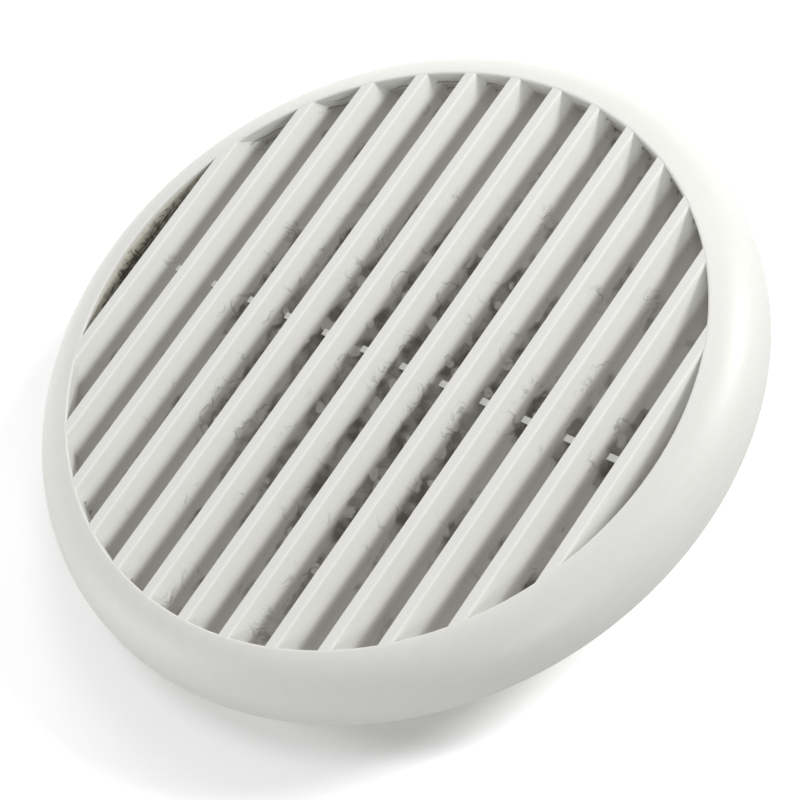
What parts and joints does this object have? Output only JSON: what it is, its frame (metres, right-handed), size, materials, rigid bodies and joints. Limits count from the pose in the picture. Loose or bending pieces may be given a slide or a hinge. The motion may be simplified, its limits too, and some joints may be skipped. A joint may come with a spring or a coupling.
{
  "type": "round vent cover",
  "caption": "Round louvred vent cover: a domed white plastic ring round slanted straight slats tied by one rib, with a short collar behind that locates it in a wall hole.",
  "frame": {"origin": "on the vent's axis, at the rear end of the collar, which is what the cover stands on when it lies face up", "axes": "+Z along the vent's axis, out of the face; the slats run along Y and lean towards +X at their rear"},
  "size_m": [0.175, 0.175, 0.0268],
  "materials": {
    "white_plastic": "satin white moulded plastic with grey-brown grime low on the slats"
  },
  "bodies": {
    "root": {"vent_cover": "white_plastic"}
  },
  "joints": []
}
